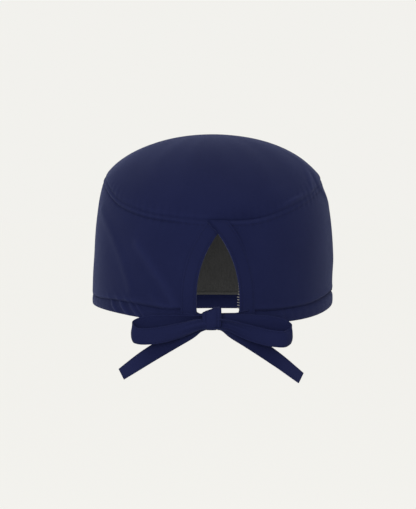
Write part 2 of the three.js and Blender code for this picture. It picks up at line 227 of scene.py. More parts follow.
def wave(periods):
    """A sine wave from a count of its periods."""
    return (periods * FULL_TURN).sine()


# ---- Finishes ----

NAVY_DEEP = (0.0044, 0.0060, 0.0262)
NAVY_PALE = (0.0072, 0.0094, 0.0362)
THREAD_NAVY = (0.0034, 0.0048, 0.0220)
THREAD_NAVY_PALE = (0.0052, 0.0070, 0.0300)
KNIT_DARK = (0.0194, 0.0194, 0.0192)
KNIT_PALE = (0.0428, 0.0428, 0.0423)
EDGE_DARK = (0.031, 0.031, 0.0305)
EDGE_PALE = (0.047, 0.047, 0.0465)
BEIGE_DARK = (0.11, 0.105, 0.095)
BEIGE_PALE = (0.23, 0.22, 0.20)
SHEEN_LAVENDER = (0.45, 0.53, 1.0, 1)
CAP_SHEEN = 0.086
TAPE_SHEEN = 0.055
KNIT_BUMP = 0.7
EDGE_BUMP = 0.5

WEAR_AND_SHADING_DEPTH = 1.8
TWILL_PITCH = 0.62
YARN_PITCH = 0.31
RIB_PITCH = 2.4
LOOP_PITCH = 0.9
PLY_PITCH = 0.45


def twill(name, deep, shaded_and_worn, sheen):
    """Twill cloth: raised diagonal lines of yarn, crossed by finer yarns, with a slow change
    of shade, wear and a painted highlight on ridges and painted shade in creases, a little
    lint and a soft sheen at its edges."""
    paint = Paint(name)
    uv, along, across = paint.cloth_uv()
    place = paint.place()
    wander = paint.noise(uv, 0.35, 2.0) * 0.5
    diagonal = wave((along + across) / TWILL_PITCH + wander) * 0.5 + 0.5
    weft = wave(along / YARN_PITCH) * wave(across / YARN_PITCH)
    slub = paint.noise(uv, 1.7, 3.0, 0.6)
    weave = diagonal * 0.65 + weft * 0.15 + slub * 0.5
    shade = paint.noise(place, 28.0, 3.0, 0.55)
    mottle = paint.noise(place, 420.0, 2.0, 0.7)
    # Wear and painted shading: the relief painted as colour, paler on ridges and darker in creases,
    # ditches and grooves; the painted shade may go darker than NAVY_DEEP.
    wear_and_shading = paint.wear_and_shading() - 0.5
    tone = shade * 0.9 + mottle * 0.35 + diagonal * 0.22 - 0.28 + wear_and_shading * WEAR_AND_SHADING_DEPTH
    paint.set(
        Base_Color=paint.colours(tone.math("MINIMUM", 1.0), deep, shaded_and_worn, deeper=True),
        Roughness=0.80 + slub * 0.16,
        Normal=paint.bump(weave, 0.00010, 0.55, paint.bump(shade + mottle * 0.25, 0.0006, 0.22)),
        Specular_IOR_Level=0.05,
        Sheen_Weight=sheen,
        Sheen_Roughness=0.42,
        Sheen_Tint=SHEEN_LAVENDER,
    )
    return paint.material


def knit(name, dark, pale, bump_strength):
    """Ribbed knit: fine V-shaped loops along each wale, with a dusty change of shade."""
    paint = Paint(name)
    uv, along, across = paint.cloth_uv()
    place = paint.place()
    wale = wave(along / (RIB_PITCH / 2)).size()
    loop = wave(across / LOOP_PITCH + wale * 0.35) * 0.5 + 0.5
    fuzz = paint.noise(uv, 2.6, 3.0, 0.65)
    shade = paint.noise(place, 60.0, 2.0)
    fleck = paint.noise(place, 700.0, 1.0)
    tone = shade * 0.4 + loop * 0.2 + fuzz * 0.4 + fleck * 0.7 - 0.35
    paint.set(
        Base_Color=paint.colours(tone, dark, pale),
        Roughness=0.86 + fuzz * 0.12,
        Normal=paint.bump(loop * 0.7 + fuzz * 0.6, 0.00018, bump_strength),
        Specular_IOR_Level=0.1,
        Sheen_Weight=0.06,
        Sheen_Roughness=0.5,
    )
    return paint.material


def thread(name, dark, pale):
    """Spun thread: two plies wound round each other, seen as slanting turns."""
    paint = Paint(name)
    uv, along, across = paint.cloth_uv()
    ply = wave(along / PLY_PITCH + across) * 0.5 + 0.5
    fuzz = paint.noise(uv, 3.0, 2.0)
    paint.set(
        Base_Color=paint.colours(ply * 0.6 + fuzz * 0.4, dark, pale),
        Roughness=0.72 + fuzz * 0.2,
        Normal=paint.bump(ply, 0.00006, 0.6),
        Specular_IOR_Level=0.1,
    )
    return paint.material


def paper_floor():
    """The pale floor: it glows evenly as the paper round it does, and takes a faint shadow."""
    paint = Paint("pale_floor")
    grain = paint.noise(paint.place(), 3.0, 2.0)
    pale = paint.colours(grain, tuple(0.99 * c for c in PAPER), PAPER)
    paint.set(Base_Color=pale, Roughness=0.95, Specular_IOR_Level=0.0)
    glow = paint.add("ShaderNodeEmission", inputs={"Color": (*PAPER, 1), "Strength": FLOOR_GLOW})
    mixed = paint.add("ShaderNodeMixShader", inputs=[FLOOR_CATCH, glow[0], paint.shader.outputs[0]])
    paint.feed(paint.tree.nodes["Material Output"].inputs["Surface"], mixed[0])
    return paint.material


# ---- Meshes from grids ----

SAME_PLACE = 2e-7
SHARP_ANGLE = 48


def grid_quads(rows, columns):
    """Quads between neighbouring rows and columns of a grid of points."""
    row, column = np.meshgrid(np.arange(rows - 1), np.arange(columns - 1), indexing="ij")
    corner = [(row, column), (row + 1, column), (row + 1, column + 1), (row, column + 1)]
    return np.stack([r * columns + c for r, c in corner], -1).reshape(-1, 4)


def build(name, points, quads, uvs, material, wear_and_shading=0.0):
    """One closed mesh in metres from points in millimetres. Points in the same place are
    merged, so that a grid that meets itself is joined, and the faces are turned outwards by
    the sign of the volume that they hold. The last argument is a number for each point, 0 on
    plain cloth, kept for the colour: wear and a painted highlight above 0, painted shade below."""
    corners = points[quads]
    volume = np.einsum("ij,ij->", corners[:, 0], np.cross(corners[:, 1], corners[:, 2]))
    volume += np.einsum("ij,ij->", corners[:, 0], np.cross(corners[:, 2], corners[:, 3]))
    if volume < 0:
        quads = quads[:, ::-1]
        uvs = uvs[:, ::-1]
    mesh = bpy.data.meshes.new(name)
    mesh.from_pydata((points * MM).tolist(), [], quads.tolist())
    layer = mesh.uv_layers.new(name="cloth")
    layer.data.foreach_set("uv", uvs.astype(np.float32).ravel())
    shaded_and_worn = np.clip(0.5 + np.broadcast_to(wear_and_shading, len(points))[quads] / 2, 0, 1)
    shade = mesh.attributes.new("wear_and_shading", "FLOAT", "CORNER")
    shade.data.foreach_set("value", shaded_and_worn.astype(np.float32).ravel())
    joined = bmesh.new()
    joined.from_mesh(mesh)
    bmesh.ops.remove_doubles(joined, verts=joined.verts, dist=SAME_PLACE)
    joined.to_mesh(mesh)
    joined.free()
    mesh.polygons.foreach_set("use_smooth", np.ones(len(mesh.polygons), bool))
    mesh.set_sharp_from_angle(angle=math.radians(SHARP_ANGLE))
    mesh.materials.append(material)
    piece = stand(name, mesh)
    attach(piece, "root")
    return piece


def shell(name, outer, inner, uv, material, slot, closed=False, wear_and_shading=0.0):
    """A closed skin of two faces and the rims between them. outer and inner hold a grid of
    points, path steps by places across, uv the cloth's own millimetres at each and the last
    argument how worn it is and where highlight and shade are painted. A closed path's last
    step is its first one again, and has no rims there."""
    steps, across = outer.shape[:2]
    count = steps * across
    face = grid_quads(steps, across)
    walk = np.arange(steps - 1) * across
    rims = [(walk, walk + across), (walk + 2 * across - 1, walk + across - 1)]
    if not closed:
        side = np.arange(across - 1)
        last = count - across
        rims += [(side + 1, side), (last + side, last + side + 1)]
    edges = [np.stack([there, here, here + count, there + count], -1) for here, there in rims]
    quads = np.concatenate([face, face[:, ::-1] + count, *edges])
    points = np.concatenate([outer.reshape(-1, 3), inner.reshape(-1, 3)])
    uvs = uv.reshape(-1, 2)[quads % count]
    shaded_and_worn = np.tile(np.broadcast_to(wear_and_shading, (steps, across)).ravel(), 2)
    return build(name, points, quads, uvs, material, shaded_and_worn)


def unit(vectors):
    return vectors / np.maximum(np.linalg.norm(vectors, axis=-1, keepdims=True), 1e-9)


def bell(distance, half_width):
    """A bell curve: 1 at no distance, and falling as exp(-(distance / half width) squared)."""
    return np.exp(-((distance / half_width) ** 2))


def smooth(low, high, value):
    """0 below low, 1 above high, and 3 t^2 - 2 t^3 between them."""
    t = np.clip((value - low) / (high - low), 0, 1)
    return t * t * (3 - 2 * t)


def table(columns, *rows):
    """A list of rows, each with its numbers under the names of the columns."""
    return [dict(zip(columns.split(), row)) for row in rows]


def paired(turn, v):
    """Two arrays of numbers brought to one shape."""
    return np.broadcast_arrays(np.asarray(turn, float), np.asarray(v, float))


def uv_of(along, across):
    """The cloth's own millimetres along and across it, for each point of a grid."""
    return np.stack(np.broadcast_arrays(along, across), -1)


def distances(line):
    """How far along a line each of its points (x, y, z) lies."""
    steps = np.linalg.norm(np.diff(line[:, :3], axis=0), axis=1)
    return np.concatenate([[0], np.cumsum(steps)])


def picked(where, gone, values):
    """Values given at distances along a line, read at other distances."""
    return np.stack([np.interp(where, gone, column) for column in values.T], 1)


def even(line, steps):
    """A line's points again, the same distance apart."""
    gone = distances(line)
    return picked(np.linspace(0, gone[-1], steps + 1), gone, line)


# ---- The cap's lines, read from the frame ----

hem_low, hem_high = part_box("hem_casing")
HALF_WIDTH = (hem_high.x - hem_low.x) / 2 / MM
HALF_DEPTH = hem_high.y / MM
ARC_PER_DEGREE = math.radians((HALF_WIDTH + HALF_DEPTH) / 2)
CREST_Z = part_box("crown_panel")[1].z / MM

SEAM_GAP = 0.3
SEAM_WAVES = 14
HEM_WAVES = 8
SEAM_STITCH_DROP = 3.6
CROWN_FALL = 1.5
BAND_LEAN = 0.15
BAND_LEAN_POWER = 4
CASING_HEIGHT = 10.0

# Soft ridges where the band is pulled towards the casing, a fuller right side, and a hollow,
# with a negative rise, down the left side. bow is how far the middle of a fold stands to the
# left of the straight line from its start to its end.
FOLDS = table(
    "start end bow rise half_width",
    ((-73, -55), (-43, -109), 7, 0.8, 4.5),
    ((-40, -78), (-20, -118), 1.5, 0.9, 3.5),
    ((-31, -114), (-20, -123), -2, 0.5, 2.5),
    ((72, -36), (84, -48), 0, 0.7, 5),
    ((67, -35), (77, -44.5), 0, 0.5, 2.2),
    ((84, -58), (84, -88), 0, 1.4, 13),
    ((-88, -60), (-88, -84), 0, -0.8, 14),
)


def fold_lift(turn, z, widest=math.inf):
    """Each fold's rise times a bell curve of the distance from its line, added up. The line
    is a parabola between a start and an end, each a turn and a height. widest leaves out the
    folds with a greater half width."""
    lift = np.zeros(np.broadcast(turn, z).shape)
    for fold in FOLDS:
        if fold["half_width"] > widest:
            continue
        start = np.array(fold["start"]) * (ARC_PER_DEGREE, 1)
        line = np.array(fold["end"]) * (ARC_PER_DEGREE, 1) - start
        length = np.hypot(*line)
        u = wrapped(turn) * ARC_PER_DEGREE - start[0]
        v = z - start[1]
        share = (u * line[0] + v * line[1]) / length**2
        near = np.clip(share, 0, 1)
        aside = (line[0] * v - line[1] * u) / length - 4 * fold["bow"] * near * (1 - near)
        beyond = (share - near) * length
        lift = lift + fold["rise"] * bell(np.hypot(aside, beyond), fold["half_width"])
    return lift


def wrapped(turn):
    """The turn between -180 and 180."""
    return (turn + 180) % 360 - 180


def turn_of(points, inset=0.0):
    """The turn of each point, on the hem's ellipse with both half axes less the inset."""
    x = points[:, 0] / (HALF_WIDTH - inset)
    y = points[:, 1] / (HALF_DEPTH - inset)
    return np.degrees(np.arctan2(x, -y))


def outline_of(node, ribs, score):
    """The corner of a CAD node with the highest score in each of a number of equal turns."""
    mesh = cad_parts[node].data
    points = np.empty(len(mesh.vertices) * 3, np.float32)
    mesh.vertices.foreach_get("co", points)
    points = points.reshape(-1, 3).astype(float) / MM
    rib = np.round(turn_of(points) / 360 * ribs).astype(int) % ribs
    order = np.lexsort((score(points), rib))
    count = np.unique(rib, return_counts=True)[1]
    return points[order[np.cumsum(count) - 1]]


def radius_share(points):
    """How far out each point is, as a share of the hem's ellipse."""
    return np.hypot(points[:, 0] / HALF_WIDTH, points[:, 1] / HALF_DEPTH)


def waves_at(turn, waves):
    """The cosines and sines of a Fourier series, for each turn."""
    angle = np.radians(np.asarray(turn, float))[..., None] * np.arange(waves + 1)
    return np.concatenate([np.cos(angle), np.sin(angle[..., 1:])], -1)


def ring_line(turn, values, waves):
    """A smooth function of the turn: the Fourier series nearest to the given values."""
    weights = np.linalg.lstsq(waves_at(turn, waves), values, rcond=None)[0]
    return lambda at: waves_at(at, waves) @ weights


def read_seam():
    """The crown seam's height and how far it stands in from the hem's outline. A point with
    inset i lies on the ellipse with half axes less i, which is solved by Newton's method."""
    ring = outline_of("crown_panel", 64, radius_share)
    inset = np.full(len(ring), 10.0)
    for _ in range(20):
        a, b = HALF_WIDTH - inset, HALF_DEPTH - inset
        miss = (ring[:, 0] / a) ** 2 + (ring[:, 1] / b) ** 2 - 1
        slope = 2 * ring[:, 0] ** 2 / a**3 + 2 * ring[:, 1] ** 2 / b**3
        inset = inset - miss / slope
    turn = turn_of(ring, inset)
    height = ring[:, 2] - SEAM_GAP
    flat_inset = inset + fold_lift(turn, height)
    return ring_line(turn, height, SEAM_WAVES), ring_line(turn, flat_inset, SEAM_WAVES)


def read_hem():
    """The hem's height round the cap, from the lowest corners of its casing."""
    ring = outline_of("hem_casing", 72, lambda points: -points[:, 2])
    return ring_line(turn_of(ring), ring[:, 2], HEM_WAVES)


seam_z, seam_inset = read_seam()
hem_z = read_hem()


def band_height(turn):
    """How high the crown seam stands above the hem."""
    return seam_z(turn) - hem_z(turn)


# ---- The outer face of the cap ----

rng = np.random.default_rng(7)


def wave_bundle(low, high, count):
    """Numbers of waves round the cap, with an angle and a share for each."""
    waves = rng.integers(low, high, count)
    angles = rng.uniform(0, FULL_TURN, count)
    return waves, angles, rng.uniform(0.5, 1, count)


PUCKERS = wave_bundle(58, 96, 7)
LOOSE_GATHERS = wave_bundle(66, 84, 5)
SWELLS = wave_bundle(5, 17, 8)
SWELL_LEANS = rng.uniform(-0.05, 0.05, 8)


def ripple(turn, bundle, lean=0.0):
    """A sum of waves round the cap, about 1 high, each shifted by its lean."""
    waves, angles, shares = bundle
    phase = np.radians(np.asarray(turn, float))[..., None] * waves + angles + lean
    return (np.sin(phase) * shares).sum(-1) / np.sqrt((shares**2).sum() / 2) / 1.6


def near_side(turn, middle, half_width):
    """A bell curve round one turn of the cap, in degrees."""
    return bell(wrapped(turn - middle), half_width)


# Where the casing's stitch line stands higher or lower above the hem than the casing's
# height, as the tie draws the cloth.
CASING_DRAWS = table(
    "turn rise half_width",
    (180, 0.6, 60),
    (75, 1.2, 26),
    (26, -0.4, 10),
    (0, -1.0, 34),
    (-25, -0.9, 9),
    (-74, -2.6, 20),
)

# The casing's gathers on the left of the back: where each meets the hem. They lean over by
# GATHER_LEAN degrees for each millimetre of height.
GATHERS = table(
    "turn rise half_width",
    (-51.6, 0.8, 1.3),
    (-44.2, 1.0, 1.4),
    (-37.6, 0.9, 1.2),
    (-33.8, 0.7, 0.9),
)
GATHER_LEAN = 0.68

# Where the casing lies flat against the band, with hardly a crease between them.
FLAT_SIDE = -90.0


def stitch_height(turn):
    """The height of the casing's stitch line above the hem: the casing's height and a bell
    curve for each of its draws."""
    draws = [row["rise"] * near_side(turn, row["turn"], row["half_width"]) for row in CASING_DRAWS]
    return CASING_HEIGHT + sum(draws)


def casing_ripple(turn, height):
    """The casing's gathers: leaning ridges with a shallow valley on each side, and a slight
    looseness elsewhere."""
    at = wrapped(turn) + GATHER_LEAN * height
    ripples = 0.06 * ripple(turn, LOOSE_GATHERS, (height * 0.12)[..., None])
    for row in GATHERS:
        away = (at - row["turn"]) / row["half_width"]
        ripples = ripples + row["rise"] * (1.35 * bell(away, 1.0) - 0.45 * bell(away, 2.2))
    return ripples


def seam_sides(turn):
    """How much of the seam's left and middle ways of lying each turn has: a pressed flange
    between two ditches, and a tucked crown over a full band. Elsewhere it is a plain ditch."""
    left = smooth(-10, -26, wrapped(turn)) * smooth(-110, -80, wrapped(turn))
    return left, near_side(turn, 12, 15)


def seam_relief(turn, below_seam):
    """The band's side of the crown seam: the ditch, the full flange and its stitch line."""
    left, middle = seam_sides(turn)
    ditch = -0.18 * bell(below_seam, 0.9)
    flange = (0.08 + 0.24 * left + 0.36 * middle) * bell(below_seam - 1.9, 1.2)
    faded = 1 - 0.5 * near_side(turn, -78, 14)
    stitched = -(0.08 + 0.46 * left * faded) * bell(below_seam - SEAM_STITCH_DROP, 0.9)
    return ditch + flange + stitched


def band_detail(turn, z):
    """The band's small relief: its seam with puckers, the narrow folds, and the roll of cloth
    above the casing's stitch line with the ends of the gathers."""
    below_seam = seam_z(turn) - z
    above_hem = z - hem_z(turn)
    over_line = above_hem - stitch_height(turn)
    pucker = ripple(turn, PUCKERS) * 0.10 * bell(below_seam - 3.2, 3.4)
    pressed = 1 - 0.8 * near_side(turn, FLAT_SIDE, 14)
    roll = (0.22 + 0.3 * near_side(turn, -56, 26)) * bell(over_line - 1.9, 1.6) * pressed
    crease = -0.6 * bell(over_line, 0.8) * pressed
    drawn = casing_ripple(turn, above_hem) * np.exp(-np.clip(over_line, 0, None) / 4.0)
    drawn = drawn * 0.6 * smooth(-3, 1.5, over_line)
    return seam_relief(turn, below_seam) + pucker + roll + crease + drawn


def band_relief(turn, z):
    """How far the band's cloth stands out from its plain form: the folds, slow swells and the
    small relief."""
    below_seam = seam_z(turn) - z
    swell = ripple(turn, SWELLS, z[..., None] * SWELL_LEANS) * 0.24 * smooth(4, 22, below_seam)
    return fold_lift(turn, z) + swell + band_detail(turn, z)


def on_outline(turn, inset, z):
    """The point at a turn of the hem's ellipse with both half axes less the inset."""
    angle = np.radians(turn)
    x = (HALF_WIDTH - inset) * np.sin(angle)
    y = -(HALF_DEPTH - inset) * np.cos(angle)
    return np.stack([x, y, z], -1)


def plain_band(turn, rise):
    """The band without its relief: height from the hem to the seam in proportion to the rise,
    and an inset that grows by a lean and then faster, by the fourth power of the rise."""
    turn, rise = paired(turn, rise)
    z = hem_z(turn) + band_height(turn) * rise
    up = np.clip(rise, 0, None)
    lean = BAND_LEAN * rise + (1 - BAND_LEAN) * up**BAND_LEAN_POWER
    return on_outline(turn, seam_inset(turn) * lean, z)


def crown_up(turn, climb):
    """The height above the seam, for a climb up the crown."""
    return np.sin(np.clip(climb, 0, 1) * math.pi / 2) ** (2 / CROWN_FALL) * (CREST_Z - seam_z(turn))


def plain_crown(turn, climb):
    """The crown without its relief: each rib is a quarter of a superellipse between the seam
    and the crest."""
    turn, climb = paired(turn, climb)
    inset = seam_inset(turn) - fold_lift(turn, seam_z(turn))
    seam = on_outline(turn, inset, seam_z(turn))
    reach = np.cos(np.clip(climb, 0, 1) * math.pi / 2)
    z = seam_z(turn) + crown_up(turn, climb)
    return np.stack([seam[..., 0] * reach, seam[..., 1] * reach, z], -1)


def outward(surface, turn, v, step):
    """The face's outward normal, from small steps along and up it."""
    along = surface(turn + 0.4, v) - surface(turn - 0.4, v)
    up = surface(turn, v + step) - surface(turn, v - step)
    return unit(np.cross(along, up))


def band_out(turn, rise):
    """The plain band's outward normal."""
    return outward(plain_band, turn, rise, 0.004)


def band_face(turn, rise, out=0.0):
    """The band's cloth, with its relief, moved out by a distance along its normal."""
    turn, rise = paired(turn, rise)
    points = plain_band(turn, rise)
    away = band_relief(turn, points[..., 2]) + out
    return points + band_out(turn, rise) * away[..., None]


def crown_detail(turn, climb):
    """The crown's side of its seam: the ditch, a tuck over the middle of the back, a swell
    beside it with light puckers, gathers on the left shoulder and soft folds on the right."""
    up = crown_up(turn, climb)
    left, middle = seam_sides(turn)
    ditch = -0.18 * bell(up, 0.9) - 0.55 * middle * bell(up, 5.5)
    swell = (0.16 - 0.10 * middle) * bell(up - 2.4, 1.8)
    pucker = ripple(turn, PUCKERS, 0.8) * (0.10 + 0.16 * near_side(turn, -62, 12)) * bell(up - 3.0, 5.0)
    fold = 0.8 * near_side(turn, 43, 7) * bell(up - 3.2, 1.3)
    shoulder = 0.6 * bell(wrapped(turn) - 58 - up * 0.55, 3.0) * bell(up - 9, 9)
    return ditch + swell + pucker + fold + shoulder


def crown_relief(turn, climb):
    """How far the crown's cloth stands out from its plain form: the small relief, slow swells
    over its top and a hollow in its left shoulder."""
    slow = ripple(turn, SWELLS, (climb * 2.2)[..., None]) * 0.35 * smooth(0.02, 0.3, climb)
    hollow = -1.2 * near_side(turn, -82, 18) * bell(climb - 0.28, 0.28)
    return crown_detail(turn, climb) + slow * smooth(1.0, 0.55, climb) + hollow


def crown_face(turn, climb, out=0.0):
    """The crown's cloth, with its relief, moved out by a distance along its normal, which
    turns to straight up at the crest."""
    turn, climb = paired(turn, climb)
    points = plain_crown(turn, climb)
    inner = np.clip(climb, 0.01, 0.985)
    normal = outward(plain_crown, turn, inner, 0.006)
    top = smooth(0.93, 0.995, climb)[..., None]
    normal = unit(normal * (1 - top) + np.array([0.0, 0.0, 1.0]) * top)
    return points + normal * (crown_relief(turn, climb) + out)[..., None]


# ---- Crown and band ----

CLOTH = 1.2
SEAM_TURNING = 2.0
CROWN_RIBS = 360
CROWN_RINGS = 96


def make_crown(material):
    """A dome of ribs round the seam and rings up to one point at the crest, rings closer
    together near the seam, with its inner face one cloth further in. Its first ring is the
    seam's turnings, which reach down inside the band."""
    turn = np.linspace(-180, 180, CROWN_RIBS + 1)
    climb = np.linspace(0, 1, CROWN_RINGS) ** 1.5
    turns, climbs = np.meshgrid(turn, climb, indexing="ij")
    outer = crown_face(turns, climbs)
    inner = crown_face(turns, climbs, -CLOTH)
    for face, z in ((outer, CREST_Z), (inner, CREST_Z - CLOTH)):
        face[:, -1] = (0, 0, z)
    side = turns[:, :1]
    low = 1 - SEAM_TURNING / band_height(side)
    outer = np.concatenate([band_face(side, low, -CLOTH - 0.1), outer], 1)
    inner = np.concatenate([band_face(side, low, -2 * CLOTH - 0.1), inner], 1)
    outer[-1] = outer[0]
    inner[-1] = inner[0]
    flat = outer[..., :2]
    # The crown's relief again as colour: painted shade in the seam's ditch and the tuck over the middle
    # of the back, and wear with a painted highlight on the swell, puckers, folds and shoulder.
    wear_and_shading = crown_detail(turns, climbs)
    wear_and_shading = np.concatenate([wear_and_shading[:, :1], wear_and_shading], 1)
    piece = shell("crown", outer, inner, flat, material, "navy_twill", closed=True, wear_and_shading=wear_and_shading)
    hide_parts("crown_panel")
    return piece


KEYHOLE_HALF_WIDTH = 15.0
KEYHOLE_SPRING_Z = -115.0
KEYHOLE_SHOULDER_Z = -90.0
KEYHOLE_APEX_Z = -70.2
BAND_EDGE_IN = 0.9


def keyhole_half_width(z):
    """Half the keyhole's width at a height: constant up to the spring line, then along a
    quadratic curve whose control point stands above the spring line, to the apex."""
    spring, shoulder, apex = KEYHOLE_SPRING_Z, KEYHOLE_SHOULDER_Z, KEYHOLE_APEX_Z
    a, b, c = spring - 2 * shoulder + apex, 2 * (shoulder - spring), spring - z
    t = (-b + np.sqrt(np.clip(b * b - 4 * a * c, 0, None))) / (2 * a)
    t = np.where(z < spring, 0, np.clip(t, 0, 1))
    return KEYHOLE_HALF_WIDTH * (1 - t * t)


def back_place(x, z):
    """The turn and rise of the point of the band at a given x and z near the centre back.
    Each pass turns by the distance that is still missing."""
    turn = np.zeros(np.broadcast(x, z).shape)
    rise = turn
    for _ in range(6):
        rise = (z - hem_z(turn)) / band_height(turn)
        turn = turn + np.degrees((x - plain_band(turn, rise)[..., 0]) / HALF_WIDTH)
    return turn, rise


BAND_COLUMNS = 530
NARROW_FOLD = 4.0
BAND_FOOT_OVERLAP = 0.3


def band_rises():
    """Rows up the band, crowded at the casing's crease and at the crown seam."""
    low = np.linspace(0, 0.05, 11, endpoint=False)
    middle = np.linspace(0.05, 0.90, 55, endpoint=False)
    return np.concatenate([low, middle, np.linspace(0.90, 1.0, 26)])


def make_band(material):
    """One cloth from the keyhole's right edge round to its left edge. Its rows are level, and
    above the keyhole's point the two edges meet at the centre back."""
    share = band_rises()[None, :]

    def rise_at(turn):
        foot = (stitch_height(turn) - BAND_FOOT_OVERLAP) / band_height(turn)
        return foot + share * (1 - foot)

    edge = np.zeros_like(share)
    for _ in range(8):
        at = plain_band(edge, rise_at(edge))
        half = keyhole_half_width(at[..., 2])
        half = np.where(half > 0, half + BAND_EDGE_IN, 0)
        edge = edge + np.degrees((half - at[..., 0]) / HALF_WIDTH)
    along = np.linspace(0, 1, BAND_COLUMNS + 1)[:, None]
    turns = edge + along * (360 - 2 * edge)
    rises = rise_at(turns)
    outer = band_face(turns, rises)
    inner = band_face(turns, rises, -CLOTH)
    flat = uv_of(turns * ARC_PER_DEGREE, outer[..., 2])
    z = plain_band(turns, rises)[..., 2]
    # The band's relief again as colour: painted shade in the seam's ditch, its stitch line and the
    # casing's crease, and wear with a painted highlight on the flange, roll, gathers and folds.
    wear_and_shading = band_detail(turns, z) + 0.6 * fold_lift(turns, z, NARROW_FOLD)
    piece = shell("band", outer, inner, flat, material, "navy_twill", wear_and_shading=wear_and_shading)
    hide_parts("side_band")
    return piece


# ---- Hem casing ----

CASING_COLUMNS = 900
CASING_PLACES = 34
CASING_CENTRE_DEPTH = 1.75
CASING_FULL = 1.85
CASING_WALL = 0.75
CASING_JOIN = 0.16


def casing_section(phase, turn, shrink):
    """Height above the hem and distance out, round a long loop with a squared foot: the height
    falls and rises as a cosine, and the half thickness is a sine to the power 0.34, pinched in
    towards the stitch line. shrink draws the loop in for its inner face."""
    top = stitch_height(turn)
    middle = top / 2
    height = middle + (middle - shrink) * np.cos(phase)
    pinched = 0.65 - 0.45 * near_side(turn, FLAT_SIDE, 14)
    pinch = 1 - pinched + pinched * smooth(0, 4.0, top - height)
    half = CASING_FULL * pinch * np.abs(np.sin(phase)) ** 0.34
    half = np.clip(half - shrink, 0.12, None) if shrink else half
    return height, -CASING_CENTRE_DEPTH + half * np.sign(np.sin(phase))


def casing_puff(turn, height):
    """How far the casing's outer wall stands out at a height above the hem."""
    middle = stitch_height(turn) / 2
    phase = np.arccos(np.clip((height - middle) / middle, -1, 1))
    return casing_section(phase, turn, 0.0)[1]


def make_casing(material):
    """A folded strip swept along the hem from one mouth, beside the keyhole, to the other."""
    mouth = math.degrees(math.asin(KEYHOLE_HALF_WIDTH / HALF_WIDTH))
    turn = np.linspace(mouth, 360 - mouth, CASING_COLUMNS + 1)[:, None]
    phase = np.linspace(CASING_JOIN, FULL_TURN - CASING_JOIN, CASING_PLACES)[None, :]
    faces = []
    shaded_and_worn = []
    for shrink in (0.0, CASING_WALL):
        height, out = casing_section(phase, turn, shrink)
        turns = np.broadcast_to(turn, height.shape)
        outside = smooth(-2.6, -0.6, out)
        ripples = casing_ripple(turns, height) * outside * smooth(-1.0, 2.0, height)
        rises = height / band_height(turns)
        away = out + ripples + fold_lift(turns, hem_z(turns) + height)
        # The gathers again as colour: wear with a painted highlight on their ridges and painted shade in
        # their valleys.
        shaded_and_worn.append(ripples)
        faces.append(plain_band(turns, rises) + band_out(turns, rises) * away[..., None])
    flat = uv_of(turn * ARC_PER_DEGREE, distances(faces[0][0]))
    piece = shell("hem_tunnel", *faces, flat, material, "navy_twill", wear_and_shading=shaded_and_worn[0])
    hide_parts("hem_casing")
    return piece


# ---- Keyhole facings ----

FACING_WIDTH = 10.8
FACING_THICK = 0.42
FACING_REST = 0.10
FACING_FOOT_Z = -131.7
FACING_HEAD_Z = -61.3
LAP_X = -7.2
LAP_Z = -62.1
LAP_LIFT = 1.2
LAP_LIFTED_Z = -76.0
FACING_STEPS = 150
FACING_PLACES = 34
OVER_CASING = 0.3
HOOK_DEPTH = 1.45
NOSE_STITCH = 1.7
FOLD_STITCH = 1.5
NARROWEST_STITCHED = 4.0


def keyhole_edge():
    """Points along the keyhole's right edge, evenly spaced: straight up, round the quadratic
    curve to the apex, and straight on to where the two sides have crossed."""
    foot, spring, shoulder = (
        np.array([KEYHOLE_HALF_WIDTH, z]) for z in (FACING_FOOT_Z, KEYHOLE_SPRING_Z, KEYHOLE_SHOULDER_Z))
    apex = np.array([0.0, KEYHOLE_APEX_Z])
    t = np.linspace(0, 1, 200)[1:, None]
    curve = (1 - t) ** 2 * spring + 2 * t * (1 - t) * shoulder + t * t * apex
    return even(np.concatenate([[foot, spring], curve, [[LAP_X, LAP_Z]]]), FACING_STEPS)


def facing_out(x, z, out):
    """A point at a distance out from the back of the cap, and over the casing at its foot."""
    turn, rise = back_place(x, z)
    height = z - hem_z(turn)
    over = np.clip(casing_puff(turn, height) + OVER_CASING, 0, None)
    away = out + fold_lift(turn, z) + np.where(height < stitch_height(turn), over, 0)
    return plain_band(turn, rise) + band_out(turn, rise) * away[..., None]


